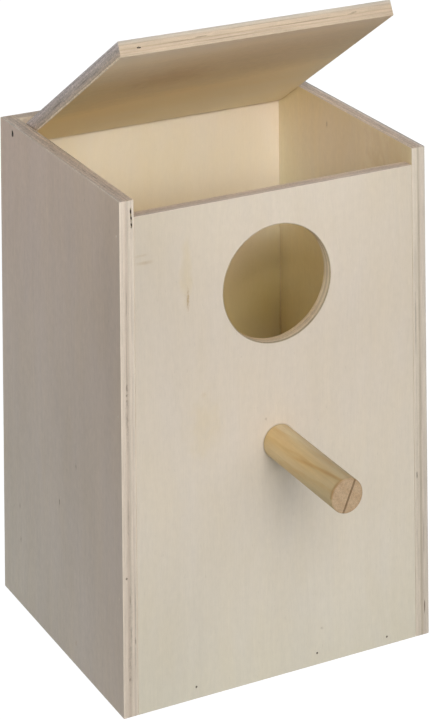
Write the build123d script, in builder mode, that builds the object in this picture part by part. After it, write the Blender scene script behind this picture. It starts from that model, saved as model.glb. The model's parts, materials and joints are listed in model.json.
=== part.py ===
from build123d import *
import os
from math import sin, cos, radians

# Nesting box for cage birds: a tall plywood box with a round entrance, a dowel
# perch and a lid that rocks on two nails near its back edge.
# Origin: centre of the base, at the level the box stands on.
# +X to the right seen from the front, +Y to the back, +Z up. Front faces -Y.

# ---------------------------------------------------------------- body
box_w = 200.0          # outside width, over both sides
box_d = 200.0          # outside depth
box_h = 300.0          # height of the sides and the back
ply = 9.0              # plywood of the body
edge = 0.4             # easing of every sawn panel edge
overshoot = 1.0        # cutters run this far past the wood

half_w = box_w / 2
half_d = box_d / 2
inner_w = box_w - 2 * ply
inner_d = box_d - 2 * ply

# ---------------------------------------------------------------- lid
lid_t = 10.0
lid_gap = 1.0          # between the lid and each side, and from the closed tail to the back
lid_rest_gap = 0.2     # from the closed lid down to the front
lid_tail_round = 2.0   # back top edge, so that the tail swings past the back
lid_open = 29.2        # angle the lid is modelled at, in degrees

pivot_y = half_d - 22.0
pivot_z = box_h - lid_t / 2                 # the closed lid is flush with the sides' tops
lid_w = inner_w - 2 * lid_gap
lid_front = pivot_y + half_d                # pivot to the lid's front edge
lid_tail = inner_d / 2 - lid_gap - pivot_y  # pivot to the lid's back edge

# Local X across the lid, local Y towards its tail, local Z out of its top face.
lid_angle = radians(lid_open)
lid_plane = Plane(
    origin=(0, pivot_y, pivot_z), x_dir=(1, 0, 0), z_dir=(0, sin(lid_angle), cos(lid_angle))
)

# ---------------------------------------------------------------- front and perch
front_h = pivot_z - lid_t / 2 - lid_rest_gap

entrance_d = 70.0
entrance_z = 234.4
entrance_ease = 0.6

perch_d = 20.0
perch_l = 100.0        # whole dowel, with the length glued into the front
perch_z = 140.0
perch_ease = 0.6

# ---------------------------------------------------------------- fastener sizes
nail_r = 1.25          # lid pivot nails
nail_l = 29.0          # shank below the head, with its point
nail_tip = 2.6
nail_head_r = 1.7
nail_head_t = 1.0
nail_sink = 0.4        # head below the face of the side
nail_bore_r = nail_r + 0.05    # running clearance in the side
nail_cbore_r = 1.9
nail_cbore_t = 1.5

brad_r = 0.5           # brads that hold the panels together
brad_l = 24.0          # face of the wood to the point
brad_tip = 1.4
brad_head_r = 0.65
brad_head_t = 0.6
brad_sink = 0.15       # head below the face of the wood

# ---------------------------------------------------------------- faults of the wood
# Gaps between plies in the left side's front edge:
# distance from the outer face, height of the middle, width, length upwards
side_voids = [
    (7.1, 293.0, 0.85, 5.0),
    (7.35, 289.2, 0.80, 3.2),
    (7.45, 285.3, 0.90, 3.2),
]
side_void_deep = 4.0

# Knot hole in the lid's front edge
knot_l = 2.2
knot_h = 0.95
knot_deep = 3.0
knot_x = -77.7
knot_z = -0.6          # from mid-thickness, in the lid's plane

# Drying check across the perch's free end
check_l = perch_d + 4  # runs out past the dowel at both ends
check_w = 0.45
check_deep = 1.6
check_offset = 1.45    # from the perch's middle
check_angle = 66.5     # to the level, in degrees


# ---------------------------------------------------------------- fastener places
# Each driven fastener has a plane on the face it enters, with Z out of the wood.
def left_face(y, z):
    return Plane(origin=(-half_w, y, z), x_dir=(0, 1, 0), z_dir=(-1, 0, 0))


def right_face(y, z):
    return Plane(origin=(half_w, y, z), x_dir=(0, 1, 0), z_dir=(1, 0, 0))


def front_face(x, z):
    return Plane(origin=(x, -half_d, z), x_dir=(1, 0, 0), z_dir=(0, -1, 0))


def back_face(x, z):
    return Plane(origin=(x, half_d, z), x_dir=(1, 0, 0), z_dir=(0, 1, 0))


front_mid = -half_d + ply / 2
back_mid = half_d - ply / 2
floor_mid = ply / 2

# Brads of each glued joint, under the two panels they join
brad_spots = {
    ("front", "left"): [left_face(front_mid, z) for z in (68, 174, 279)],
    ("front", "right"): [right_face(front_mid, z) for z in (66, 176, 277)],
    ("back", "left"): [left_face(back_mid, z) for z in (44, 150, 256)],
    ("back", "right"): [right_face(back_mid, z) for z in (46, 152, 258)],
    ("floor", "left"): [left_face(y, floor_mid) for y in (-62, 0, 62)],
    ("floor", "right"): [right_face(y, floor_mid) for y in (-60, 2, 60)],
    ("floor", "front"): [front_face(x, z) for x, z in ((-54.5, 7.0), (24, 7.0), (71, 5.0))],
    ("floor", "back"): [back_face(x, floor_mid) for x in (-64, 0, 64)],
}

left_pivot = left_face(pivot_y, pivot_z)
right_pivot = right_face(pivot_y, pivot_z)


def spots_in(panel):
    """Places of all brads that enter one panel."""
    return [spot for joint, spots in brad_spots.items() if panel in joint for spot in spots]


# ---------------------------------------------------------------- fastener shapes
def make_pin(top, head_r, head_bottom, shank_r, tip_l, point):
    """Flat head, straight shank and conical point, turned about Z; heights from the face."""
    with BuildPart() as pin:
        with BuildSketch(Plane.XZ):
            with BuildLine():
                Polyline(
                    (0, top),
                    (head_r, top),
                    (head_r, head_bottom),
                    (shank_r, head_bottom),
                    (shank_r, point + tip_l),
                    (0, point),
                    close=True,
                )
            make_face()
        revolve(axis=Axis.Z)
    return pin.part


def make_brad(top):
    return make_pin(
        top=top,
        head_r=brad_head_r,
        head_bottom=-brad_sink - brad_head_t,
        shank_r=brad_r,
        tip_l=brad_tip,
        point=-brad_l,
    )


brad = make_brad(top=-brad_sink)
brad_hole = make_brad(top=overshoot)   # the brad and the dimple over its head
pivot_nail = make_pin(
    top=-nail_sink,
    head_r=nail_head_r,
    head_bottom=-nail_sink - nail_head_t,
    shank_r=nail_r,
    tip_l=nail_tip,
    point=-nail_sink - nail_head_t - nail_l,
)


def place(fastener, spots):
    """Copies of one fastener, driven in at each spot."""
    with BuildPart() as placed:
        with Locations(*spots):
            add(fastener)
    return placed.part


# ---------------------------------------------------------------- wooden parts
def make_side(panel, low_x, pivot, voids=()):
    """Full depth and full height; holds the front, back and floor."""
    with BuildPart() as side:
        with BuildSketch(Plane.YZ.offset(low_x)):
            with Locations((0, box_h / 2)):
                Rectangle(box_d, box_h)
        extrude(amount=ply)
        fillet(side.edges(), edge)
        if voids:
            with BuildSketch(front_face(low_x, 0)):
                for x, z, wide, high in voids:
                    with Locations((x, z)):
                        SlotOverall(high, wide, rotation=90)
            extrude(amount=-side_void_deep, mode=Mode.SUBTRACT)
        with Locations(*spots_in(panel)):
            add(brad_hole, mode=Mode.SUBTRACT)
        with Locations(pivot):
            CounterBoreHole(nail_bore_r, nail_cbore_r, nail_cbore_t, depth=ply + overshoot)
    return side.part


def make_front():
    """Between the sides, flush with their front edges, stopping under the closed lid."""
    with BuildPart() as front:
        with BuildSketch(Plane.XZ.offset(half_d)):
            with Locations((0, front_h / 2)):
                Rectangle(inner_w, front_h)
        extrude(amount=-ply)
        fillet(front.edges(), edge)
        with Locations(front_face(0, entrance_z)):
            Hole(entrance_d / 2, depth=ply)
        circles = front.edges().filter_by(GeomType.CIRCLE)
        rim = circles.filter_by(lambda e: abs(e.radius - entrance_d / 2) < 0.01)
        fillet(rim, entrance_ease)
        with Locations(front_face(0, perch_z)):
            Hole(perch_d / 2, depth=ply)
        with Locations(*spots_in("front")):
            add(brad_hole, mode=Mode.SUBTRACT)
    return front.part


def make_back():
    """Between the sides, full height, so the lid's tail swings down in front of it."""
    with BuildPart() as back:
        with BuildSketch(Plane.XZ.offset(-half_d + ply)):
            with Locations((0, box_h / 2)):
                Rectangle(inner_w, box_h)
        extrude(amount=-ply)
        fillet(back.edges(), edge)
        with Locations(*spots_in("back")):
            add(brad_hole, mode=Mode.SUBTRACT)
    return back.part


def make_floor():
    """Between all four walls, flush with their lower edges."""
    with BuildPart() as floor:
        with BuildSketch(Plane.XY):
            Rectangle(inner_w, inner_d)
        extrude(amount=ply)
        fillet(floor.edges(), edge)
        with Locations(*spots_in("floor")):
            add(brad_hole, mode=Mode.SUBTRACT)
    return floor.part


def is_tail_seam(line):
    """Whether an edge along X bounds the round on the tail's top edge."""
    centre = lid_plane.to_local_coords(line.center())
    return centre.Y > lid_tail - lid_tail_round - 0.1 and centre.Z > 0


def make_lid():
    """Hangs between the sides on the two nails, drawn open."""
    with BuildPart() as lid:
        with BuildSketch(lid_plane.offset(-lid_t / 2)):
            with Locations((0, (lid_tail - lid_front) / 2)):
                Rectangle(lid_w, lid_tail + lid_front)
        extrude(amount=lid_t)
        tail_top = lid.edges().filter_by(Axis.X).sort_by(Axis.Y)[-1]
        fillet(tail_top, lid_tail_round)
        # Every sharp edge is eased; the two seams of the tail's round are already smooth.
        seams = [e for e in lid.edges().filter_by(Axis.X) if is_tail_seam(e)]
        fillet([e for e in lid.edges() if e not in seams], edge)
        knot_plane = Plane(
            origin=lid_plane.from_local_coords(Vector(knot_x, -lid_front, knot_z)),
            x_dir=(1, 0, 0),
            z_dir=-lid_plane.y_dir,
        )
        with BuildSketch(knot_plane):
            SlotOverall(knot_l, knot_h)
        extrude(amount=-knot_deep, mode=Mode.SUBTRACT)
        with Locations(left_pivot, right_pivot):
            add(pivot_nail, mode=Mode.SUBTRACT)
    return lid.part


def make_perch():
    """Round dowel glued into the front, its inner end flush with the inside face."""
    with BuildPart() as perch:
        with BuildSketch(Plane.XZ.offset(half_d - ply)):
            with Locations((0, perch_z)):
                Circle(perch_d / 2)
        extrude(amount=perch_l)
        free_end = perch.edges().filter_by(GeomType.CIRCLE).sort_by(Axis.Y)[0]
        fillet(free_end, perch_ease)
        end_plane = Plane(
            origin=(0, -half_d + ply - perch_l, perch_z), x_dir=(1, 0, 0), z_dir=(0, -1, 0)
        )
        angle = radians(check_angle)
        with BuildSketch(end_plane):
            with Locations((check_offset * sin(angle), -check_offset * cos(angle))):
                Rectangle(check_l, check_w, rotation=check_angle)
        extrude(amount=-check_deep, mode=Mode.SUBTRACT)
    return perch.part


# ---------------------------------------------------------------- pieces and export
pieces = {
    "left_side": make_side("left", -half_w, left_pivot, side_voids),
    "right_side": make_side("right", half_w - ply, right_pivot),
    "front_panel": make_front(),
    "back_panel": make_back(),
    "floor_panel": make_floor(),
    "lid": make_lid(),
    "perch_dowel": make_perch(),
    # The nails are fast in the lid's ends and free to turn in the sides.
    "left_pivot_nail": place(pivot_nail, [left_pivot]),
    "right_pivot_nail": place(pivot_nail, [right_pivot]),
}
for joint, spots in brad_spots.items():
    pieces["_".join(joint) + "_brads"] = place(brad, spots)

os.makedirs("parts", exist_ok=True)
for name, piece in pieces.items():
    piece.label = name
    export_step(piece, f"parts/{name}.step")
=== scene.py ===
import bpy
import json
import math
from mathutils import Matrix, Vector


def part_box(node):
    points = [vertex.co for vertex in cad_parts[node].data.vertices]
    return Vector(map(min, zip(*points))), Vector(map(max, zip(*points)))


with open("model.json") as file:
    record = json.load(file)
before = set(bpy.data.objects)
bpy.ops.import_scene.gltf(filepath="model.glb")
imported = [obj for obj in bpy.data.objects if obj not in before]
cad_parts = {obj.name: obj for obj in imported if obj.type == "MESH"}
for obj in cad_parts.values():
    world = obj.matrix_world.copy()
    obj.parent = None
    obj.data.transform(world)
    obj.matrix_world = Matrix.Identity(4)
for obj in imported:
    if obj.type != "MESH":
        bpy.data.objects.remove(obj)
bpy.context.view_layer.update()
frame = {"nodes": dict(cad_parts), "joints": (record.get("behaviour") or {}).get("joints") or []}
nodes = frame["nodes"]
scene = bpy.context.scene


# --------------------------------------------------------------- node helpers
class Tree:
    """Small helper that builds a shader node tree from expressions."""

    def __init__(self, name):
        self.mat = bpy.data.materials.new(name)
        self.mat.use_nodes = True
        self.nt = self.mat.node_tree
        self.nt.nodes.clear()
        self.out = self.nt.nodes.new("ShaderNodeOutputMaterial")
        self.bsdf = self.nt.nodes.new("ShaderNodeBsdfPrincipled")
        self.nt.links.new(self.bsdf.outputs[0], self.out.inputs[0])
        self.tc = self.nt.nodes.new("ShaderNodeTexCoord")

    def put(self, socket, value):
        if isinstance(value, bpy.types.NodeSocket):
            self.nt.links.new(value, socket)
        elif value is not None:
            if hasattr(socket.default_value, "__len__") and not hasattr(value, "__len__"):
                value = (value,) * len(socket.default_value)
            if hasattr(socket.default_value, "__len__") and len(socket.default_value) == 4 and len(value) == 3:
                value = (*value, 1.0)
            socket.default_value = value

    def m(self, op, a, b=None, c=None, clamp=False):
        n = self.nt.nodes.new("ShaderNodeMath")
        n.operation = op
        n.use_clamp = clamp
        for i, v in enumerate((a, b, c)):
            if v is not None:
                self.put(n.inputs[i], v)
        return n.outputs[0]

    def add(self, a, b):
        return self.m("ADD", a, b)

    def sub(self, a, b):
        return self.m("SUBTRACT", a, b)

    def mul(self, a, b):
        return self.m("MULTIPLY", a, b)

    def v(self, op, a, b=None, scale=None):
        n = self.nt.nodes.new("ShaderNodeVectorMath")
        n.operation = op
        self.put(n.inputs[0], a)
        if b is not None:
            self.put(n.inputs[1], b)
        if scale is not None:
            self.put(n.inputs["Scale"], scale)
        return n.outputs["Value"] if op in ("DOT_PRODUCT", "LENGTH", "DISTANCE") else n.outputs[0]

    def xyz(self, x, y, z):
        n = self.nt.nodes.new("ShaderNodeCombineXYZ")
        for i, q in enumerate((x, y, z)):
            self.put(n.inputs[i], q)
        return n.outputs[0]

    def noise(self, vec, scale=1.0, detail=2.0, rough=0.5, dist=0.0):
        n = self.nt.nodes.new("ShaderNodeTexNoise")
        n.noise_dimensions = "3D"
        self.put(n.inputs["Vector"], vec)
        n.inputs["Scale"].default_value = scale
        n.inputs["Detail"].default_value = detail
        n.inputs["Roughness"].default_value = rough
        n.inputs["Distortion"].default_value = dist
        return n.outputs[0]

    def voronoi(self, vec, scale=1.0, rand=1.0):
        n = self.nt.nodes.new("ShaderNodeTexVoronoi")
        self.put(n.inputs["Vector"], vec)
        n.inputs["Scale"].default_value = scale
        n.inputs["Randomness"].default_value = rand
        return n.outputs["Distance"], n.outputs["Color"]

    def smooth(self, x, lo, hi, to_lo=0.0, to_hi=1.0):
        n = self.nt.nodes.new("ShaderNodeMapRange")
        n.interpolation_type = "SMOOTHSTEP"
        self.put(n.inputs["Value"], x)
        for k, q in (("From Min", lo), ("From Max", hi), ("To Min", to_lo), ("To Max", to_hi)):
            self.put(n.inputs[k], q)
        return n.outputs[0]

    def lin(self, x, lo, hi, to_lo=0.0, to_hi=1.0):
        n = self.nt.nodes.new("ShaderNodeMapRange")
        self.put(n.inputs["Value"], x)
        for k, q in (("From Min", lo), ("From Max", hi), ("To Min", to_lo), ("To Max", to_hi)):
            self.put(n.inputs[k], q)
        return n.outputs[0]

    def ramp(self, x, stops, interp="LINEAR"):
        n = self.nt.nodes.new("ShaderNodeValToRGB")
        n.color_ramp.interpolation = interp
        e = n.color_ramp.elements
        while len(e) > 1:
            e.remove(e[-1])
        e[0].position = stops[0][0]
        e[0].color = (*stops[0][1], 1.0)
        for p, c in stops[1:]:
            q = e.new(p)
            q.color = (*c, 1.0)
        self.put(n.inputs[0], x)
        return n.outputs[0]

    def mix(self, f, a, b, kind="MIX"):
        n = self.nt.nodes.new("ShaderNodeMix")
        n.data_type = "RGBA"
        n.blend_type = kind
        n.clamp_factor = True
        self.put(n.inputs[0], f)
        self.put(n.inputs[6], a)
        self.put(n.inputs[7], b)
        return n.outputs[2]

    def fmix(self, f, a, b):
        n = self.nt.nodes.new("ShaderNodeMix")
        n.data_type = "FLOAT"
        self.put(n.inputs[0], f)
        self.put(n.inputs[2], a)
        self.put(n.inputs[3], b)
        return n.outputs[0]

    def gain(self, colour, factor):
        """Colour times a number."""
        return self.v("SCALE", colour, scale=factor)

    def bump(self, height, dist, strength=1.0):
        n = self.nt.nodes.new("ShaderNodeBump")
        n.inputs["Strength"].default_value = strength
        n.inputs["Distance"].default_value = dist
        self.put(n.inputs["Height"], height)
        return n.outputs[0]


def dark(c, k):
    return tuple(q * k for q in c)


# ------------------------------------------------------------------ materials
# Linear colours of unfinished poplar plywood. The two faces of a sheet are different veneers; the inner one is also
# made paler as painted light, standing in for the light that fills the inside of the box.
FACE = (0.750, 0.655, 0.553)
FACE_WARM = (0.755, 0.650, 0.523)
INNER_LIT = (0.925, 0.815, 0.575)
INNER_WARM_LIT = (0.925, 0.800, 0.525)

# Sawn edges along the grain, outer face to inner face: (share of the thickness, colour).
SIDE_PLIES = [
    (0.00, (0.93, 0.80, 0.665)), (0.05, (0.83, 0.715, 0.594)), (0.125, (0.82, 0.71, 0.590)), (0.150, (0.74, 0.62, 0.505)), (0.175, (0.80, 0.685, 0.572)),
    (0.330, (0.79, 0.67, 0.555)), (0.365, (0.69, 0.575, 0.465)), (0.40, (0.715, 0.60, 0.500)), (0.47, (0.655, 0.540, 0.440)),
    (0.54, (0.69, 0.585, 0.480)), (0.585, (0.67, 0.57, 0.465)), (0.615, (0.765, 0.665, 0.555)), (0.755, (0.80, 0.690, 0.575)),
    (0.785, (0.68, 0.57, 0.470)), (0.815, (0.745, 0.64, 0.535)), (0.90, (0.77, 0.67, 0.560)), (0.95, (0.84, 0.735, 0.615)), (1.0, (0.85, 0.74, 0.62)),
]
# The right side is another sheet, with a thin dark core line.
RIGHT_PLIES = [
    (0.00, (0.59, 0.515, 0.440)), (0.05, (0.675, 0.595, 0.505)), (0.12, (0.715, 0.625, 0.530)), (0.34, (0.715, 0.620, 0.520)),
    (0.43, (0.680, 0.585, 0.480)), (0.475, (0.580, 0.490, 0.385)), (0.56, (0.590, 0.500, 0.390)), (0.60, (0.67, 0.580, 0.470)),
    (0.65, (0.755, 0.660, 0.545)), (0.72, (0.735, 0.640, 0.525)), (0.80, (0.725, 0.630, 0.520)), (0.88, (0.770, 0.675, 0.560)), (1.0, (0.815, 0.715, 0.595)),
]
RIGHT_END_PLIES = [
    (0.00, (0.50, 0.455, 0.43)), (0.10, (0.56, 0.50, 0.47)), (0.17, (0.76, 0.665, 0.585)), (0.33, (0.755, 0.635, 0.535)),
    (0.38, (0.62, 0.505, 0.415)), (0.44, (0.70, 0.575, 0.470)), (0.58, (0.69, 0.56, 0.45)), (0.64, (0.61, 0.49, 0.39)),
    (0.70, (0.76, 0.62, 0.49)), (0.84, (0.745, 0.60, 0.47)), (0.90, (0.64, 0.505, 0.39)), (1.0, (0.80, 0.66, 0.52)),
]
# The lid, underside to top.
LID_PLIES = [
    (0.00, (0.79, 0.625, 0.455)), (0.09, (0.78, 0.620, 0.450)), (0.115, (0.73, 0.565, 0.41)), (0.14, (0.815, 0.65, 0.478)),
    (0.21, (0.80, 0.632, 0.462)), (0.245, (0.70, 0.535, 0.385)), (0.285, (0.795, 0.625, 0.455)), (0.37, (0.825, 0.650, 0.480)),
    (0.43, (0.735, 0.570, 0.405)), (0.465, (0.685, 0.525, 0.370)), (0.495, (0.80, 0.635, 0.460)), (0.60, (0.82, 0.658, 0.482)),
    (0.71, (0.815, 0.655, 0.488)), (0.745, (0.695, 0.560, 0.422)), (0.775, (0.775, 0.650, 0.510)), (0.87, (0.780, 0.675, 0.555)),
    (0.93, (0.720, 0.632, 0.545)), (1.0, (0.82, 0.735, 0.650)),
]
# Sawn edges across the grain: end grain drinks the light, so they are darker.
END_PLIES = [
    (0.00, (0.80, 0.70, 0.605)), (0.11, (0.74, 0.635, 0.545)), (0.15, (0.64, 0.535, 0.445)), (0.19, (0.745, 0.62, 0.515)),
    (0.33, (0.755, 0.625, 0.515)), (0.37, (0.635, 0.515, 0.415)), (0.42, (0.695, 0.565, 0.460)), (0.56, (0.690, 0.555, 0.445)),
    (0.60, (0.610, 0.490, 0.390)), (0.65, (0.75, 0.605, 0.480)), (0.80, (0.76, 0.615, 0.480)), (0.84, (0.655, 0.525, 0.400)),
    (0.88, (0.775, 0.63, 0.495)), (1.0, (0.80, 0.66, 0.52)),
]
# The lid's ends, underside to top: greyer towards the top veneer.
LID_END_PLIES = [
    (0.00, (0.99, 0.81, 0.60)), (0.11, (0.97, 0.79, 0.59)), (0.15, (0.58, 0.45, 0.33)), (0.20, (0.70, 0.56, 0.44)),
    (0.33, (0.72, 0.585, 0.485)), (0.37, (0.62, 0.50, 0.42)), (0.42, (0.66, 0.55, 0.48)), (0.56, (0.67, 0.56, 0.50)),
    (0.60, (0.61, 0.51, 0.455)), (0.65, (0.73, 0.62, 0.575)), (0.80, (0.75, 0.65, 0.61)), (0.84, (0.64, 0.555, 0.52)),
    (0.88, (0.76, 0.675, 0.64)), (1.0, (0.78, 0.71, 0.69)),
]


# Painted light and shade on the wall of the bored hole, outer face to inner face: a dark eased outer rim as painted
# shade, then gains above 1 as painted light.
BORE_PAINTED_LIGHT_AND_SHADE = [(0.00, (0.56, 0.53, 0.42)), (0.05, (0.76, 0.73, 0.60)), (0.10, (1.15, 1.16, 1.05)), (0.34, (1.16, 1.17, 1.04)),
            (0.40, (1.06, 1.06, 0.93)), (0.62, (1.10, 1.08, 0.92)), (0.66, (1.12, 1.10, 0.93)), (0.94, (1.04, 0.99, 0.80)), (1.0, (0.92, 0.86, 0.66))]


def plywood(name, origin, across, grain, normal, thick, seed, marks=(), gaps=(), inside=1.0,
            figure=1.0, outer_tint=(1, 1, 1), inner_tint=(1, 1, 1), side_plies=SIDE_PLIES, end_plies=END_PLIES,
            edge_low_gain=None, edge_gain=1.0, inner_figure=1.0, shaded_low_tint=None, pits=(), drift=(), torn=(), bore=None,
            end_gain=1.0, end_grit=0.10, pit_colour=(0.10, 0.068, 0.042), shade_rings=()):
    """Plywood in its own frame: u across the grain, v along it, w through the thickness, all in mm.
    inside says which face, w = 0 or w = thick, looks into the box and has the warmer veneer, which is also made paler
    as painted light.
    marks are spots in a face veneer, some of them painted shade, gaps are dark gaps between the plies of a sawn edge,
    torn are stretches where the saw tore the core, drift is painted light and shade over a whole sheet, partly the
    veneer's own slow change of tone."""
    t = Tree(name)
    p = t.v("SCALE", t.tc.outputs["Object"], scale=1000.0)
    p = t.v("SUBTRACT", p, origin)
    u = t.v("DOT_PRODUCT", p, across)
    v = t.v("DOT_PRODUCT", p, grain)
    w = t.v("DOT_PRODUCT", p, normal)
    n = t.tc.outputs["Normal"]
    n_face = t.m("ABSOLUTE", t.v("DOT_PRODUCT", n, normal))
    n_grain = t.m("ABSOLUTE", t.v("DOT_PRODUCT", n, grain))
    is_face = t.smooth(n_face, 0.80, 0.96)
    is_end = t.smooth(n_grain, 0.45, 0.8)
    # the two faces are different sheets of veneer; the inner one also carries painted light
    s = t.add(t.mul(t.smooth(w, thick * 0.4, thick * 0.6), 37.0), seed)

    def n3(du, dv, off, detail=2.0, rough=0.5, uu=u, vv=v):
        return t.noise(t.xyz(t.m("DIVIDE", uu, du), t.m("DIVIDE", vv, dv), t.add(s, off)), 1.0, detail, rough)

    # --- face veneer: slow colour drift, faint straight figure, fibre, short pores
    uw = t.add(u, t.mul(t.sub(n3(45.0, 160.0, 0.0, 1.5), 0.5), 22.0))
    broad = n3(55.0, 120.0, 3.1)
    bands = n3(8.0, 300.0, 7.7, 3.0, 0.55, uu=uw)
    fine = n3(1.2, 34.0, 1.9, 3.0, 0.6, uu=uw)
    fibre = n3(0.45, 5.0, 5.3, 3.0, 0.65)
    mottle = n3(3.2, 4.6, 15.3, 3.0, 0.6)
    flecks = n3(0.7, 4.0, 9.4, 1.0)
    fleck = t.smooth(flecks, 0.745, 0.81)
    inner_side = t.smooth(w, thick * 0.4, thick * 0.6, 1.0 - inside, inside)
    tone = t.add(t.lin(broad, 0.25, 0.75, -0.022, 0.022), t.lin(bands, 0.3, 0.7, -0.015, 0.013))
    tone = t.add(tone, t.lin(fine, 0.3, 0.7, -0.017, 0.013))
    tone = t.add(tone, t.lin(fibre, 0.3, 0.7, -0.023, 0.020))
    tone = t.add(tone, t.lin(mottle, 0.3, 0.7, -0.019, 0.017))
    tone = t.sub(tone, t.mul(fleck, 0.10))
    tone = t.add(t.mul(tone, t.fmix(inner_side, figure, inner_figure)), 1.0)
    hue = n3(24.0, 70.0, 12.2, 3.0, 0.6, uu=uw)
    warm_f = t.lin(hue, 0.35, 0.65, 0.0, 0.8)
    outer_col = t.v("MULTIPLY", t.mix(warm_f, FACE, FACE_WARM), outer_tint)
    inner_col = t.v("MULTIPLY", t.mix(warm_f, INNER_LIT, INNER_WARM_LIT), inner_tint)
    # painted shade: below about 185 to 235 mm the inner veneer turns yellower, for the warm shade deep inside the box
    if shaded_low_tint:
        inner_col = t.mix(t.smooth(v, 235.0, 185.0), inner_col, t.v("MULTIPLY", t.mix(warm_f, INNER_LIT, INNER_WARM_LIT), shaded_low_tint))
    col = t.gain(t.mix(inner_side, outer_col, inner_col), tone)
    # painted light and shade: a fitted quadratic gain in (u, v) on the veneer of one side, standing in for how light
    # falls across the sheet, with some of the veneer's own slow change of tone in it
    for side, (u0, hu, u_lo, u_hi), (v0, hv, v_lo, v_hi), co, *part in drift:
        du = t.m("MINIMUM", t.m("MAXIMUM", t.lin(u, u0 - hu, u0 + hu, -1.0, 1.0), u_lo), u_hi)
        dv = t.m("MINIMUM", t.m("MAXIMUM", t.lin(v, v0 - hv, v0 + hv, -1.0, 1.0), v_lo), v_hi)
        g = co[0]
        for term, k in ((du, co[1]), (dv, co[2]), (t.mul(du, du), co[3]), (t.mul(du, dv), co[4]), (t.mul(dv, dv), co[5])):
            g = t.v("ADD", g, t.v("SCALE", k, scale=term))
        gate = t.smooth(w, thick * 0.4, thick * 0.6, 1.0 - side, float(side))
        if part:
            gate = t.mul(gate, t.smooth(v, *part[0]))
        col = t.mix(gate, col, t.v("MULTIPLY", col, g))
    if drift:
        # no veneer reflects more than this, whatever its hue
        parts = t.nt.nodes.new("ShaderNodeSeparateXYZ")
        t.put(parts.inputs[0], col)
        peak = t.m("MAXIMUM", t.m("MAXIMUM", parts.outputs[0], parts.outputs[1]), parts.outputs[2])
        col = t.gain(col, t.m("MINIMUM", t.m("DIVIDE", 0.96, peak), 1.0))
    # marks in the veneer, some of them painted shade in corners and under the lid: (u, v, half width, half height,
    # colour, strength, side of the sheet)
    ragged = t.mul(t.sub(t.noise(t.xyz(t.m("DIVIDE", u, 0.9), t.m("DIVIDE", v, 1.4), seed), 1.0, 2.0, 0.6), 0.5), 1.4)
    cloudy = t.mul(t.sub(t.noise(t.xyz(t.m("DIVIDE", u, 6.0), t.m("DIVIDE", v, 10.0), seed), 1.0, 3.0, 0.6), 0.5), 1.6)
    for mu, mv, ru, rv, mc, ms, side in marks:
        wob = cloudy if ru > 4.0 else ragged
        du = t.m("DIVIDE", t.sub(u, mu), ru)
        dv = t.m("DIVIDE", t.sub(v, mv), rv)
        r = t.add(t.m("SQRT", t.add(t.mul(du, du), t.mul(dv, dv))), wob)
        on = t.mul(t.smooth(r, 0.0, 1.1, 1.0, 0.0), ms)
        gate = t.smooth(w, thick * 0.4, thick * 0.6, 1.0 - side, float(side))
        col = t.mix(t.mul(on, gate), col, t.v("MULTIPLY", col, mc))

    # --- sawn edge: plies of unequal thickness that wander a little
    along = t.fmix(is_end, v, u)
    wander = t.noise(t.xyz(t.m("DIVIDE", along, 34.0), t.m("DIVIDE", w, 14.0), t.add(seed, 2.0)), 1.0, 3.0, 0.55)
    ww = t.m("DIVIDE", t.add(w, t.mul(t.sub(wander, 0.5), thick * 0.085)), thick)
    edge_col = t.mix(is_end, t.ramp(ww, side_plies), t.ramp(ww, end_plies))
    saw = t.noise(t.xyz(t.m("DIVIDE", along, 22.0), t.m("DIVIDE", w, 0.36), t.add(seed, 4.4)), 1.0, 3.0, 0.62)
    pores = t.noise(t.xyz(t.m("DIVIDE", along, 0.8), t.m("DIVIDE", w, 0.34), t.add(seed, 8.1)), 1.0, 2.0, 0.6)
    patch = t.noise(t.xyz(t.m("DIVIDE", along, 19.0), t.m("DIVIDE", w, 1.5), t.add(seed, 6.6)), 1.0, 3.0)
    rip = t.noise(t.xyz(t.m("DIVIDE", along, 3.2), t.m("DIVIDE", w, 0.55), t.add(seed, 19.6)), 1.0, 2.0, 0.6)
    grit = t.noise(t.xyz(t.m("DIVIDE", along, 1.5), t.m("DIVIDE", w, 0.95), t.add(seed, 27.3)), 1.0, 2.0, 0.6)
    rough_end = t.fmix(is_end, 1.0, 1.7)
    edge_tone = t.add(t.lin(saw, 0.3, 0.7, -0.075, 0.060), t.add(t.lin(pores, 0.3, 0.7, -0.05, 0.035), t.lin(patch, 0.3, 0.7, -0.06, 0.05)))
    edge_tone = t.add(t.mul(t.add(edge_tone, t.lin(rip, 0.3, 0.7, -0.04, 0.03)), rough_end), edge_gain)
    tear = t.mul(t.smooth(rip, 0.70, 0.78), t.smooth(t.m("ABSOLUTE", t.sub(ww, 0.5)), 0.22, 0.08))
    edge_tone = t.mul(edge_tone, t.sub(1.0, t.mul(tear, t.fmix(is_end, 0.22, 0.40))))
    edge_tone = t.mul(edge_tone, t.fmix(is_end, 1.0, t.mul(t.lin(grit, 0.3, 0.7, 1.0 - end_grit * 1.3, 1.0 + end_grit), end_gain)))
    # torn core: short ragged pits in stretches, (along, w, half length, half thickness, strength)
    if torn:
        bits = t.noise(t.xyz(t.m("DIVIDE", along, 2.6), t.m("DIVIDE", w, 1.5), t.add(seed, 31.7)), 1.0, 3.0, 0.65)
        for ta, tw, ra, rw, ts in torn:
            da = t.m("DIVIDE", t.sub(along, ta), ra)
            dw = t.m("DIVIDE", t.sub(w, tw), rw)
            r = t.m("SQRT", t.add(t.mul(da, da), t.mul(dw, dw)))
            on = t.mul(t.mul(t.smooth(r, 1.0, 0.55), t.add(t.smooth(bits, 0.47, 0.60), 0.30)), t.sub(1.0, is_end))
            edge_tone = t.mul(edge_tone, t.sub(1.0, t.mul(on, ts)))
    # the sawn edges are a few per cent darker towards the bottom
    if edge_low_gain:
        edge_tone = t.mul(edge_tone, t.smooth(v, edge_low_gain[0], edge_low_gain[1], edge_low_gain[2], 1.0))
    edge_col = t.gain(edge_col, edge_tone)
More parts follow.
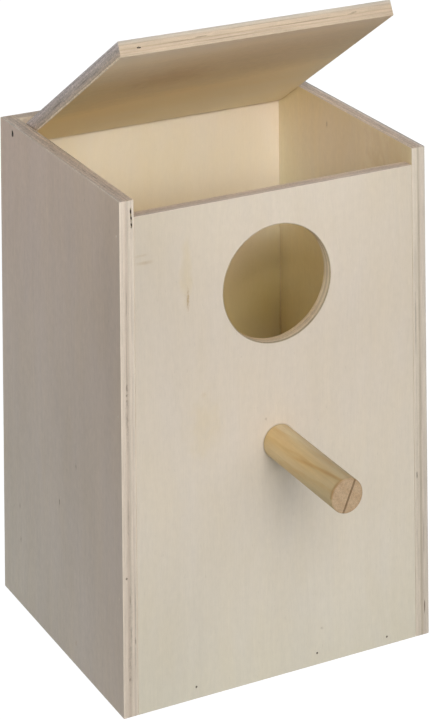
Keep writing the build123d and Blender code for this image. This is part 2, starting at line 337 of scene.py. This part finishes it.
    # gaps: (along, w, half length, half thickness, strength, 1 for an end-grain edge)
    long_wob = t.mul(t.sub(t.noise(t.xyz(t.m("DIVIDE", along, 3.6), t.m("DIVIDE", w, 0.4), seed), 1.0, 3.0, 0.65), 0.5), 1.3)
    short_wob = t.mul(t.sub(pores, 0.5), 1.1)
    for ga, gw, ra, rw, gs, end in gaps:
        wob = long_wob if ra > 4.0 else short_wob
        da = t.m("DIVIDE", t.sub(along, ga), ra)
        dw = t.m("DIVIDE", t.sub(w, gw), rw)
        r = t.add(t.m("SQRT", t.add(t.mul(da, da), t.mul(dw, dw))), wob)
        on = t.mul(t.smooth(r, 0.35, 1.15, 1.0, 0.0), gs)
        on = t.mul(on, is_end if end else t.sub(1.0, is_end))
        edge_col = t.mix(on, edge_col, (0.16, 0.115, 0.075))

    # painted light on the wall of a bored hole, made paler than the other sawn edges, and painted shade on its eased
    # outer rim: (u, v, radius)
    if bore:
        bu, bv = t.sub(u, bore[0]), t.sub(v, bore[1])
        dist = t.m("SQRT", t.add(t.mul(bu, bu), t.mul(bv, bv)))
        in_bore = t.smooth(dist, bore[2] + 4.0, bore[2] + 1.5)
        bore_painted = t.v("MULTIPLY", edge_col, t.ramp(t.m("DIVIDE", w, thick), BORE_PAINTED_LIGHT_AND_SHADE))
        edge_col = t.mix(in_bore, edge_col, bore_painted)
    col = t.mix(is_face, edge_col, col)
    # painted shade: thin dark circles on the outer face at the eased edges of round openings, where they fall into
    # shade: (u, v, radius, half width, strength)
    for ru0, rv0, rr, rw, rs in shade_rings:
        a, b = t.sub(u, ru0), t.sub(v, rv0)
        d = t.m("ABSOLUTE", t.sub(t.m("SQRT", t.add(t.mul(a, a), t.mul(b, b))), rr))
        on = t.mul(t.smooth(d, rw, rw * 0.35), t.smooth(w, 1.6, 0.9))
        on = t.mul(on, t.lin(cloudy, -0.45, 0.45, 0.55, 1.0))
        col = t.mix(t.mul(on, rs), col, t.v("MULTIPLY", col, (0.38, 0.31, 0.17)))
    # pits: the shaded inside of gaps and bores, (u, v, w, half sizes)
    for pu, pv, pw, ru, rv, rw in pits:
        a = t.m("DIVIDE", t.sub(u, pu), ru)
        b = t.m("DIVIDE", t.sub(v, pv), rv)
        c = t.m("DIVIDE", t.sub(w, pw), rw)
        r = t.add(t.add(t.mul(a, a), t.mul(b, b)), t.mul(c, c))
        col = t.mix(t.smooth(r, 1.0, 0.65), col, pit_colour)
    t.put(t.bsdf.inputs["Base Color"], col)
    t.put(t.bsdf.inputs["Roughness"], t.add(t.fmix(is_face, 0.84, 0.70), t.lin(bands, 0.3, 0.7, -0.05, 0.05)))
    t.bsdf.inputs["Specular IOR Level"].default_value = 0.18
    t.bsdf.inputs["Sheen Weight"].default_value = 0.04
    t.bsdf.inputs["Sheen Roughness"].default_value = 0.6
    face_h = t.add(t.mul(fibre, 0.6), t.add(t.mul(fine, 0.45), t.mul(fleck, -0.8)))
    edge_h = t.add(t.mul(saw, 1.3), t.add(t.mul(pores, 1.1), t.mul(t.v("DOT_PRODUCT", edge_col, (0.4, 0.4, 0.4)), 1.6)))
    t.put(t.bsdf.inputs["Normal"], t.bump(t.fmix(is_face, edge_h, face_h), 0.00022, 0.55))
    return t.mat


X, Y, Z = (1, 0, 0), (0, 1, 0), (0, 0, 1)
BROWN = (0.80, 0.70, 0.55)
# Painted shade: a dark line down the inside corner where the back panel meets the right side.
CORNER_SHADE = (0.50, 0.36, 0.22)
# Painted light and shade over each sheet, partly the veneer's own slow change of tone: 1, u, v, u*u, u*v, v*v terms
# over the stated range.
SHEET_PAINTED_SHADING = {
    "left_outer": [(0.94, 0.94, 0.96), (0.07, 0.08, 0.09), (-0.01, -0.06, -0.08), (-0.02, -0.03, -0.04), (0.03, 0.01, 0.02), (0.07, 0.06, 0.05)],
    "front_outer": [(1.03, 1.04, 1.05), (0.02, 0.02, 0.02), (-0.05, -0.08, -0.09), (-0.03, -0.03, -0.04), (-0.00, 0.00, 0.00), (-0.08, -0.06, -0.08)],
    "back_upper": [(0.81, 0.81, 0.80), (-0.03, -0.03, -0.01), (0.09, 0.10, 0.12), (0.12, 0.12, 0.13), (-0.04, -0.06, -0.08), (-0.00, -0.02, -0.04)],
    "back_lower": [(0.71, 0.68, 0.59), (-0.14, -0.15, -0.21), (0.03, 0.03, 0.12), (0.07, 0.08, 0.12), (0.07, 0.09, 0.07), (0.10, 0.12, 0.24)],
    "right_upper": [(0.83, 0.81, 0.81), (0.15, 0.16, 0.23), (0.10, 0.07, 0.08), (0.02, 0.05, -0.03), (-0.12, -0.15, -0.28), (-0.06, -0.06, -0.12)],
    "right_lower": [(0.84, 0.85, 0.70), (-0.09, -0.12, -0.18), (-0.01, -0.03, -0.06), (0.07, 0.09, 0.18), (0.20, 0.26, 0.42), (0.11, 0.13, 0.23)],
    "lid_inner": [(0.90, 0.87, 0.81), (0.52, 0.63, 0.66), (0.15, 0.19, 0.29), (0.83, 0.92, 1.14), (0.27, 0.33, 0.47), (0.01, 0.01, 0.01)],
}
SPOT = (0.42, 0.34, 0.26)
YELLOW = (0.99, 0.955, 0.83)
PALE = (1.10, 1.10, 1.10)

hinge = frame["joints"][0]
pivot = Vector(hinge["pos_m"]) * 1000.0
open_angle = math.radians(-hinge["range_deg"][0])

mats = {}
mats["left_side"] = plywood(
    "plywood_left_side", (-100, 0, 0), Y, Z, X, 9.0, 11.0, figure=1.7, outer_tint=(0.99, 0.968, 0.985), edge_low_gain=(90.0, 170.0, 0.96),
    end_gain=0.95, end_grit=0.14,
    drift=[(0, (0.0, 100.0, -1.0, 1.0), (150.0, 150.0, -1.0, 1.0), SHEET_PAINTED_SHADING["left_outer"])],
    torn=[(176.0, 3.8, 30.0, 1.3, 0.17), (105.0, 4.2, 24.0, 1.2, 0.08), (58.0, 4.9, 26.0, 1.7, 0.10), (28.0, 4.3, 24.0, 1.6, 0.11)],
    marks=[(0.9, 89.5, 0.9, 3.4, SPOT, 0.9, 0), (-27.3, 120.9, 0.9, 2.6, SPOT, 0.7, 0), (70.6, 61.7, 1.0, 2.4, SPOT, 0.6, 0),
           (69.3, 41.3, 1.0, 2.2, SPOT, 0.6, 0), (-24.5, 13.8, 0.9, 2.4, BROWN, 0.9, 0), (-94.6, 278.6, 1.2, 1.2, PALE, 1.0, 0),
           (-94.6, 67.6, 1.2, 1.2, PALE, 1.0, 0)],
    gaps=[(80.9, 2.5, 0.85, 0.75, 0.9, 0), (48.0, 5.0, 5.0, 0.45, 0.32, 0), (43.5, 7.6, 2.4, 0.42, 0.60, 0), (60.0, 7.75, 18.0, 0.24, 0.50, 0),
          (34.0, 7.5, 10.0, 0.20, 0.40, 0), (191.5, 3.7, 2.6, 0.50, 0.55, 0), (187.2, 3.5, 0.8, 0.60, 0.55, 0), (184.0, 3.6, 0.8, 0.60, 0.50, 0),
          (172.0, 3.8, 6.0, 0.40, 0.28, 0), (240.0, 4.0, 10.0, 0.25, 0.40, 0), (22.0, 4.0, 1.2, 0.60, 0.45, 0), (31.0, 4.2, 2.0, 0.50, 0.30, 0),
          (210.0, 3.6, 26.0, 0.30, 0.30, 0), (68.0, 4.6, 4.0, 0.5, 0.40, 0), (118.0, 3.9, 14.0, 0.30, 0.30, 0),
          (12.0, 8.6, 46.0, 0.40, 0.75, 1), (56.0, 7.6, 9.0, 0.7, 0.35, 1),
          (17.0, 3.4, 6.0, 0.5, 0.45, 1), (-34.0, 4.3, 4.5, 0.55, 0.50, 1), (-48.0, 5.2, 5.0, 0.5, 0.45, 1), (-68.0, 3.8, 4.0, 0.4, 0.40, 1)],
    pits=[(-99.0, 293.0, 7.1, 8.0, 2.9, 0.52), (-99.0, 289.2, 7.35, 8.0, 1.9, 0.50), (-99.0, 285.3, 7.45, 8.0, 1.9, 0.55),
          (77.8, 294.8, 0.0, 2.15, 2.15, 3.0)])
mats["right_side"] = plywood(
    "plywood_right_side", (100, 0, 0), Y, Z, (-1, 0, 0), 9.0, 23.0, figure=1.0, inner_figure=1.0, edge_low_gain=(60.0, 150.0, 0.95),
    end_grit=0.14, side_plies=RIGHT_PLIES, end_plies=RIGHT_END_PLIES,
    inner_tint=(1.03, 1.03, 1.09),
    drift=[(1, (-5.0, 91.0, -1.0, 1.0), (265.0, 32.0, -1.0, 1.0), SHEET_PAINTED_SHADING["right_upper"], (208.0, 232.0)),
           (1, (50.0, 36.0, -1.0, 1.0), (170.0, 40.0, -1.0, 1.0), SHEET_PAINTED_SHADING["right_lower"], (232.0, 208.0))],
    marks=[(18.1, 285.4, 0.8, 3.0, SPOT, 0.8, 1), (30, 140, 1.0, 2.6, BROWN, 0.8, 0), (-52.0, 282.0, 14.0, 9.0, BROWN, 0.28, 1),
           # painted shade: the dark line down the inside corner with the back panel, and the greyer, browner patch at
           # the top front of the inner face
           (91.0, 92.0, 1.5, 88.0, CORNER_SHADE, 0.60, 1), (-88.0, 288.0, 60.0, 46.0, (0.90, 0.83, 0.78), 0.75, 1)],
    gaps=[(17.0, 2.8, 4.5, 0.45, 0.85, 0), (193.0, 7.3, 20.0, 0.26, 0.50, 0), (99.0, 7.3, 2.5, 0.42, 0.9, 0), (60.0, 3.2, 14.0, 0.26, 0.4, 0),
          (252.0, 4.3, 16.0, 0.26, 0.40, 0), (140.0, 4.0, 18.0, 0.24, 0.40, 0), (20.0, 4.5, 14.0, 0.35, 0.5, 1), (-50.0, 4.2, 9.0, 0.35, 0.45, 1)],
    pits=[(78.0, 295.0, 0.0, 2.05, 2.05, 3.0)])
mats["front_panel"] = plywood(
    "plywood_front_panel", (0, -100, 0), X, Z, Y, 9.0, 37.0, figure=0.95, bore=(0.0, 234.4, 35.0),
    # painted shade circles round the entrance hole and round the perch's joint
    shade_rings=[(0.0, 234.4, 35.1, 0.65, 0.50), (0.0, 140.0, 10.25, 0.60, 0.28)],
    drift=[(0, (0.0, 91.0, -1.0, 1.0), (150.0, 150.0, -1.0, 1.0), SHEET_PAINTED_SHADING["front_outer"])],
    marks=[(-57.6, 235.5, 1.1, 8.5, (0.70, 0.58, 0.42), 0.9, 0), (-58.6, 252.0, 4.6, 24.0, YELLOW, 0.75, 0), (-84.9, 262.0, 6.5, 1.6, BROWN, 0.62, 0),
           (-86.0, 266.5, 5.5, 1.3, BROWN, 0.48, 0), (-47.5, 160.0, 14.0, 24.0, YELLOW, 0.50, 0), (-8.3, 154.9, 0.9, 1.3, SPOT, 0.40, 0),
           (-48.0, 177.5, 2.2, 2.0, BROWN, 0.20, 0), (27.3, 21.3, 1.3, 1.0, SPOT, 0.35, 0)])
mats["back_panel"] = plywood(
    "plywood_back_panel", (0, 100, 0), X, Z, (0, -1, 0), 9.0, 51.0, figure=0.9, inner_figure=0.55, inner_tint=(1.02, 1.03, 1.17),
    shaded_low_tint=(0.98, 0.97, 0.84),
    drift=[(1, (25.0, 66.0, -1.0, 1.0), (255.0, 28.0, -1.0, 1.0), SHEET_PAINTED_SHADING["back_upper"], (203.0, 227.0)),
           (1, (68.0, 20.0, -1.0, 1.0), (160.0, 32.0, -1.0, 1.0), SHEET_PAINTED_SHADING["back_lower"], (227.0, 203.0))],
    # painted shade down the inside corner with the right side
    marks=[(91.0, 92.0, 1.7, 88.0, CORNER_SHADE, 0.70, 1), (34, 120, 2.0, 12.0, BROWN, 0.6, 0), (-41, 226, 9.0, 14.0, YELLOW, 0.7, 0),
           # painted shade: the grey-brown patch at the top left of the inner face, under the lid's tail
           (-80.0, 294.0, 17.0, 13.0, (0.70, 0.625, 0.655), 0.95, 1)])
mats["floor_panel"] = plywood("plywood_floor_panel", (0, 0, 0), X, Y, Z, 9.0, 63.0)
sa, ca = math.sin(open_angle), math.cos(open_angle)
mats["lid"] = plywood(
    "plywood_lid", tuple(pivot + Vector((0, sa, ca)) * -5.0), (0, ca, -sa), X, (0, sa, ca), 10.0, 77.0, inside=0.0, figure=1.1, inner_figure=1.3,
    inner_tint=(1.01, 0.95, 0.93), side_plies=LID_PLIES, end_plies=LID_END_PLIES, edge_gain=0.80, end_grit=0.20, end_gain=1.19,
    drift=[(0, (-82.0, 98.0, -1.0, 1.0), (0.0, 91.0, -1.0, 1.0), SHEET_PAINTED_SHADING["lid_inner"])],
    marks=[(-108.0, -32.0, 26.0, 34.0, (0.86, 0.78, 0.74), 0.55, 0), (-60.0, 20.0, 20.0, 50.0, (1.0, 0.97, 0.92), 0.5, 0)],
    gaps=[(62.0, 4.9, 3.0, 0.4, 0.45, 0), (-20.0, 2.4, 22.0, 0.24, 0.40, 0), (30.0, 4.5, 26.0, 0.26, 0.42, 0), (-38.0, 5.2, 5.0, 0.38, 0.60, 0),
          (-50.0, 4.6, 16.0, 0.26, 0.40, 0), (0.0, 7.4, 30.0, 0.22, 0.35, 0), (64.0, 5.6, 2.4, 0.5, 0.5, 0), (10.0, 3.3, 24.0, 0.2, 0.3, 0),
          (-60.0, 4.6, 14.0, 0.5, 0.50, 1), (-110.0, 4.4, 16.0, 0.45, 0.45, 1)],
    pits=[(-177.0, -77.7, 4.4, 8.0, 1.35, 0.60)])


def dowel_wood(name, node):
    """Round softwood rod: long soft streaks, one flame of a growth ring near the free end, open end grain."""
    lo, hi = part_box(node)
    cx, cz = (lo.x + hi.x) * 500, (lo.z + hi.z) * 500
    y_end = lo.y * 1000
    t = Tree(name)
    p = t.v("SUBTRACT", t.v("SCALE", t.tc.outputs["Object"], scale=1000.0), (cx, 0.0, cz))
    sep = t.nt.nodes.new("ShaderNodeSeparateXYZ")
    t.put(sep.inputs[0], p)
    x, y, z = sep.outputs
    drift = t.noise(t.xyz(t.m("DIVIDE", x, 16.0), t.m("DIVIDE", y, 60.0), t.m("DIVIDE", z, 16.0)), 1.0, 2.0)
    # flat-sawn growth layers: nearly level sheets that the rod cuts at a shallow angle
    lay = t.add(t.add(t.mul(x, 0.62), t.mul(z, 0.50)), t.add(t.mul(y, 0.085), t.mul(t.sub(drift, 0.5), 9.0)))
    ring = t.m("FRACT", t.m("DIVIDE", lay, 6.2))
    late = t.mul(t.smooth(ring, 0.30, 0.86), t.smooth(ring, 0.88, 1.0, 1.0, 0.0))
    streak = t.noise(t.xyz(t.m("DIVIDE", x, 1.3), t.m("DIVIDE", y, 40.0), t.m("DIVIDE", z, 1.3)), 1.0, 3.0, 0.6)
    fibre = t.noise(t.xyz(t.m("DIVIDE", x, 0.4), t.m("DIVIDE", y, 7.0), t.m("DIVIDE", z, 0.4)), 1.0, 2.0, 0.6)
    blotch = t.noise(t.xyz(t.m("DIVIDE", x, 7.0), t.m("DIVIDE", y, 19.0), t.m("DIVIDE", z, 7.0)), 1.0, 3.0)
    col = t.mix(t.mul(late, 0.60), (0.790, 0.615, 0.350), (0.710, 0.490, 0.225))
    col = t.mix(t.lin(blotch, 0.38, 0.66, 0.0, 0.50), col, (0.80, 0.655, 0.375))
    tone = t.add(1.0, t.add(t.lin(streak, 0.3, 0.7, -0.060, 0.045), t.lin(fibre, 0.3, 0.7, -0.035, 0.03)))
    # painted light: paler where it enters the box, standing in for light thrown back onto it by the front panel, and
    # darker towards the free end
    tone = t.mul(tone, t.smooth(y, y_end, y_end + 78.0, 0.83, 0.99))
    col = t.gain(col, tone)
    # one brown streak winds slightly round the rod and runs out at the free end
    side = t.mul(t.m("ARCTAN2", z, x), 10.0)             # mm round the rod
    run = t.m("DIVIDE", t.sub(-134.0, y), 53.0)
    off = t.m("ABSOLUTE", t.add(t.sub(side, t.sub(26.0, t.mul(run, 6.4))), t.mul(t.sub(drift, 0.5), 2.0)))
    streak1 = t.mul(t.smooth(off, 1.5, 0.1), t.smooth(run, -0.25, 0.35))
    col = t.mix(t.mul(streak1, 0.60), col, t.v("MULTIPLY", col, (0.84, 0.68, 0.48)))
    warm1 = t.mul(t.smooth(t.m("ABSOLUTE", t.sub(side, 24.0)), 7.0, 0.5), t.smooth(y, -185.0, -150.0))
    col = t.mix(t.mul(warm1, 0.60), col, t.v("MULTIPLY", col, (1.00, 0.90, 0.72)))
    # painted highlight: a pale, bluish band along the top of the rod
    top_highlight = t.smooth(t.m("ABSOLUTE", t.sub(side, 13.2)), 7.2, 2.8)
    col = t.mix(t.mul(top_highlight, 0.80), col, t.v("MULTIPLY", col, (1.08, 1.15, 1.30)))
    # end grain is duller, pinker and open-pored
    n = t.tc.outputs["Normal"]
    is_end = t.smooth(t.m("ABSOLUTE", t.v("DOT_PRODUCT", n, Y)), 0.55, 0.85)
    pore = t.noise(t.xyz(t.m("DIVIDE", x, 0.55), 0.0, t.m("DIVIDE", z, 0.55)), 1.0, 3.0, 0.7)
    grit = t.noise(t.xyz(t.m("DIVIDE", x, 1.6), 3.0, t.m("DIVIDE", z, 1.6)), 1.0, 2.0, 0.6)
    end_col = t.gain(t.mix(t.mul(late, 0.5), (0.640, 0.470, 0.320), (0.560, 0.390, 0.250)),
                     t.add(1.0, t.add(t.lin(pore, 0.3, 0.7, -0.22, 0.16), t.lin(grit, 0.3, 0.7, -0.12, 0.10))))
    # the drying check soils the wood beside it, on both of its lips
    lip = t.m("ABSOLUTE", t.sub(t.sub(t.mul(x, math.sin(CHECK)), t.mul(z, math.cos(CHECK))), 1.45))
    end_col = t.mix(t.mul(t.smooth(lip, 0.95, 0.30), 0.62), end_col, (0.16, 0.095, 0.060))
    col = t.mix(is_end, col, end_col)
    rad = t.m("SQRT", t.add(t.mul(x, x), t.mul(z, z)))
    near_end = t.mul(t.smooth(y, y_end + 2.6, y_end + 0.3, 0.0, 1.0), t.smooth(rad, 8.7, 9.6))
    left_rim = t.smooth(t.m("ABSOLUTE", t.sub(t.m("ARCTAN2", z, x), 2.62)), 1.0, 0.3)
    col = t.mix(t.mul(near_end, t.add(t.mul(left_rim, 0.52), 0.18)), col, (0.42, 0.25, 0.10))
    col = t.v("MULTIPLY", col, t.mix(is_end, (0.895, 0.865, 0.830), (0.90, 0.87, 0.805)))
    # a thin line of dried glue and shade where it enters the front
    neck = t.smooth(t.m("ABSOLUTE", t.add(y, 100.0)), 1.5, 0.2)
    col = t.mix(t.mul(neck, 0.60), col, (0.36, 0.27, 0.16))
    t.put(t.bsdf.inputs["Base Color"], col)
    t.put(t.bsdf.inputs["Roughness"], t.fmix(is_end, t.lin(streak, 0.3, 0.7, 0.50, 0.62), 0.88))
    t.bsdf.inputs["Specular IOR Level"].default_value = 0.28
    h = t.add(t.mul(streak, 0.5), t.add(t.mul(fibre, 0.5), t.mul(t.mul(pore, is_end), 2.2)))
    t.put(t.bsdf.inputs["Normal"], t.bump(h, 0.00020, 0.5))
    return t.mat


CHECK = math.radians(66.5)


def steel(name, base, rough, rust):
    t = Tree(name)
    p = t.v("SCALE", t.tc.outputs["Object"], scale=1000.0)
    a = t.noise(p, 1.6, 3.0, 0.6)
    b = t.noise(p, 6.0, 2.0, 0.6)
    col = t.mix(t.smooth(a, 0.45, 0.7, 0.0, rust), base, (0.16, 0.085, 0.045))
    col = t.gain(col, t.lin(b, 0.3, 0.7, 0.82, 1.14))
    t.put(t.bsdf.inputs["Base Color"], col)
    t.put(t.bsdf.inputs["Roughness"], t.add(t.lin(a, 0.3, 0.7, rough - 0.08, rough + 0.12), t.lin(b, 0.3, 0.7, -0.04, 0.04)))
    t.bsdf.inputs["Metallic"].default_value = 0.9
    t.put(t.bsdf.inputs["Normal"], t.bump(b, 0.0001, 0.4))
    return t.mat


mats["perch_dowel"] = dowel_wood("pine_dowel", "perch_dowel")
dark_steel = steel("oxidised_nail_steel", (0.030, 0.026, 0.024), 0.55, 0.35)
wire_steel = steel("drawn_brad_wire", (0.20, 0.17, 0.14), 0.45, 0.55)
bright_wire = steel("bright_brad_wire", (0.74, 0.70, 0.64), 0.50, 0.10)
for k in ("left_pivot_nail", "right_pivot_nail"):
    mats[k] = dark_steel
for k in nodes:
    if k.endswith("_brads"):
        mats[k] = wire_steel if k == "floor_front_brads" else bright_wire

for k, o in nodes.items():
    o.data.materials.clear()
    o.data.materials.append(mats[k])

# ---------------------------------------------------------------------- stage
bpy.ops.mesh.primitive_plane_add(size=14.0, location=(0, 0, -0.0002))
ground = bpy.context.object
ground.name = "studio_floor"
g = Tree("studio_floor_paper")
g.bsdf.inputs["Roughness"].default_value = 0.9
g.bsdf.inputs["Specular IOR Level"].default_value = 0.1
gn = g.noise(g.tc.outputs["Object"], 3.0, 3.0)
g.put(g.bsdf.inputs["Base Color"], g.gain((0.47, 0.505, 0.497), g.lin(gn, 0.3, 0.7, 0.99, 1.01)))
em = g.nt.nodes.new("ShaderNodeEmission")
em.inputs[0].default_value = (1, 1, 1, 1)
em.inputs[1].default_value = 1.18
lp = g.nt.nodes.new("ShaderNodeLightPath")
mx = g.nt.nodes.new("ShaderNodeMixShader")
g.nt.links.new(g.mul(lp.outputs["Is Camera Ray"], 0.86), mx.inputs[0])
g.nt.links.new(g.bsdf.outputs[0], mx.inputs[1])
g.nt.links.new(em.outputs[0], mx.inputs[2])
g.nt.links.new(mx.outputs[0], g.out.inputs[0])
ground.data.materials.append(g.mat)

world = bpy.data.worlds.new("studio")
scene.world = world
world.use_nodes = True
wn = world.node_tree
wn.nodes.clear()
wo = wn.nodes.new("ShaderNodeOutputWorld")
b1 = wn.nodes.new("ShaderNodeBackground")
b2 = wn.nodes.new("ShaderNodeBackground")
wl = wn.nodes.new("ShaderNodeLightPath")
wm = wn.nodes.new("ShaderNodeMixShader")
b1.inputs[0].default_value = (0.97, 0.985, 1.0, 1)
b1.inputs[1].default_value = 0.02
b2.inputs[0].default_value = (1, 1, 1, 1)
b2.inputs[1].default_value = 1.0
wn.links.new(wl.outputs["Is Camera Ray"], wm.inputs[0])
wn.links.new(b1.outputs[0], wm.inputs[1])
wn.links.new(b2.outputs[0], wm.inputs[2])
wn.links.new(wm.outputs[0], wo.inputs[0])


def softbox(name, target, azimuth, elevation, distance, size, power, colour=(1, 1, 1)):
    """Square area light; azimuth from the front, positive to the right."""
    a, e = math.radians(azimuth), math.radians(elevation)
    d = Vector((math.sin(a) * math.cos(e), -math.cos(a) * math.cos(e), math.sin(e)))
    data = bpy.data.lights.new(name, "AREA")
    data.shape = "SQUARE"
    data.size = size
    data.energy = power
    data.color = colour
    o = bpy.data.objects.new(name, data)
    o.location = Vector(target) + d * distance
    o.rotation_mode = "QUATERNION"
    o.rotation_quaternion = (-d).to_track_quat("-Z", "Y")
    scene.collection.objects.link(o)
    return o


def snoot(name, target, azimuth, elevation, distance, size, spread, power):
    """Narrow soft spot that reaches into the open box."""
    o = softbox(name, target, azimuth, elevation, distance, 1.0, 1.0)
    data = bpy.data.lights.new(name + "_lamp", "SPOT")
    data.energy = power
    data.shadow_soft_size = size
    data.spot_size = 2.0 * math.atan(spread / distance)
    data.spot_blend = 0.8
    o.data = data


AIM = (0, -0.05, 0.2)
SNOOT_W = 82.0
softbox("key_softbox", AIM, -8.0, 27.0, 3.0, 1.25, 33.0, (1.0, 0.99, 0.985))
softbox("right_softbox", AIM, 14.0, 27.0, 3.0, 3.00, 34.0, (1.0, 0.99, 0.985))
softbox("left_front_softbox", AIM, -35.0, 30.0, 2.5, 1.20, 7.0)
softbox("left_softbox", AIM, -80.0, 20.0, 2.5, 1.60, 12.0)
softbox("left_rear_softbox", AIM, -105.0, 18.0, 2.5, 1.60, 5.8)
softbox("hair_softbox", AIM, 180.0, 55.0, 2.5, 1.60, 7.6)
softbox("rear_right_softbox", AIM, 142.0, 10.0, 2.5, 1.60, 24.0)
snoot("snoot", (0.074, 0.091, 0.262), -24.0, 25.0, 1.6, 0.10, 0.064, SNOOT_W)

# --------------------------------------------------------------------- camera
# A level camera with a shifted lens, so that uprights stay parallel, as in a product photo.
FOCAL_PX, CX, CY = 2869.57, 567.99, -708.12
W_PX, H_PX = 430.0, 720.0
YAW, PITCH, ROLL = math.radians(30.8813), math.radians(0.332), math.radians(-0.4947)
CAM = Vector((-0.72360, -1.65757, 0.83399))
cam_data = bpy.data.cameras.new("camera")
cam = bpy.data.objects.new("camera", cam_data)
scene.collection.objects.link(cam)
scene.camera = cam
fwd = Vector((math.sin(YAW) * math.cos(PITCH), math.cos(YAW) * math.cos(PITCH), -math.sin(PITCH)))
right0 = Vector((math.cos(YAW), -math.sin(YAW), 0.0))
up0 = right0.cross(fwd)
cam_right = right0 * math.cos(ROLL) + up0 * math.sin(ROLL)
cam_up = up0 * math.cos(ROLL) - right0 * math.sin(ROLL)
rot = Matrix((cam_right, cam_up, -fwd)).transposed()
cam.location = CAM
cam.rotation_mode = "QUATERNION"
cam.rotation_quaternion = rot.to_quaternion()
cam_data.sensor_fit = "AUTO"
cam_data.sensor_width = 36.0
cam_data.lens = FOCAL_PX * 36.0 / H_PX
cam_data.clip_start = 0.05
cam_data.clip_end = 50.0
cam_data.shift_x = (W_PX / 2 - CX) / H_PX
cam_data.shift_y = (CY - H_PX / 2) / H_PX


def shift_only_here(path, value):
    """The lens shift belongs to this camera position alone; anywhere else the lens is centred."""
    d = cam_data.driver_add(path).driver
    d.type = "SCRIPTED"
    var = d.variables.new()
    var.name = "px"
    var.type = "SINGLE_PROP"
    var.targets[0].id = cam
    var.targets[0].data_path = "location[0]"
    d.expression = "%.6f if abs(px + %.5f) < 0.0005 else 0.0" % (value, -CAM.x)
    assert d.is_simple_expression, d.expression


shift_only_here("shift_x", cam_data.shift_x)
shift_only_here("shift_y", cam_data.shift_y)

scene.view_settings.view_transform = "Standard"
scene.view_settings.look = "None"
scene.view_settings.exposure = 0.0
scene.view_settings.gamma = 1.0
scene.cycles.max_bounces = 10
scene.cycles.diffuse_bounces = 6
scene.cycles.use_denoising = True
